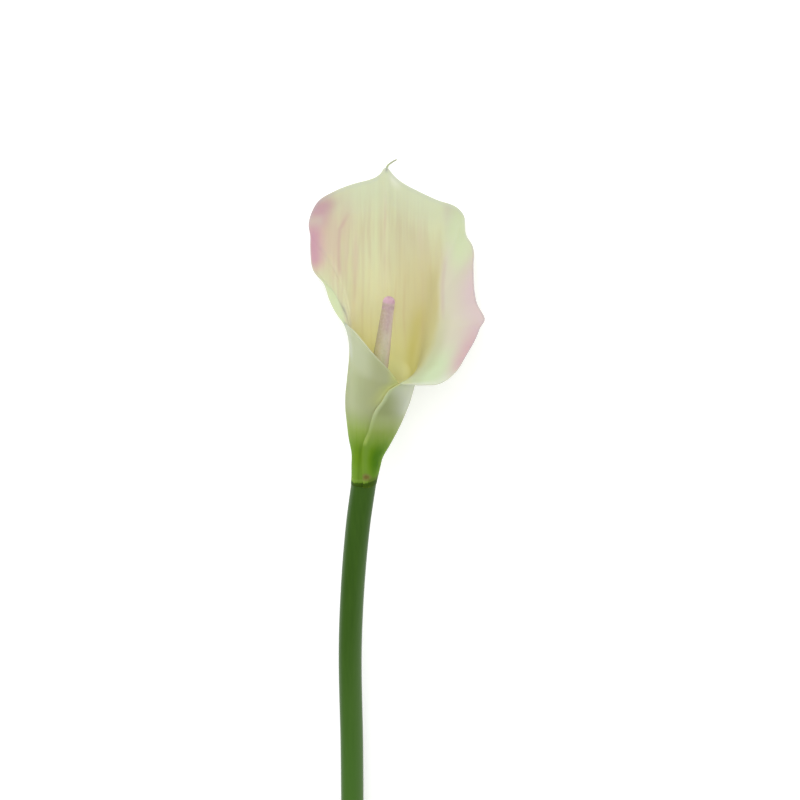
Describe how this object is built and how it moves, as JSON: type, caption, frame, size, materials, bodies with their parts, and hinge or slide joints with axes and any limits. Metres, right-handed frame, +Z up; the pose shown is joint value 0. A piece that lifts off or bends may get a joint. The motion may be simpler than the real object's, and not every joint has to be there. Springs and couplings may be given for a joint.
{
  "type": "calla lily flower",
  "caption": "Cut calla lily lying on its back: a rolled funnel spathe with a flared, pointed limb, a finger-like spadix inside and a long bare stem.",
  "frame": {"origin": "middle of the flower's bounding box, on the surface it lies on", "axes": "+Y along the flower towards the spathe's tip, +Z up and out of its mouth, +X to the side of the wide lobe"},
  "size_m": [0.0744, 0.4232, 0.0519],
  "materials": {
    "stem": "smooth satin plant stem, deep green",
    "spathe": "soft satin petal, cream with a green foot, yellow throat and pink blush",
    "spadix": "matt, finely grained, pink at the tip"
  },
  "bodies": {
    "root": {"stem": "stem", "spathe": "spathe", "spadix": "spadix"}
  },
  "joints": []
}
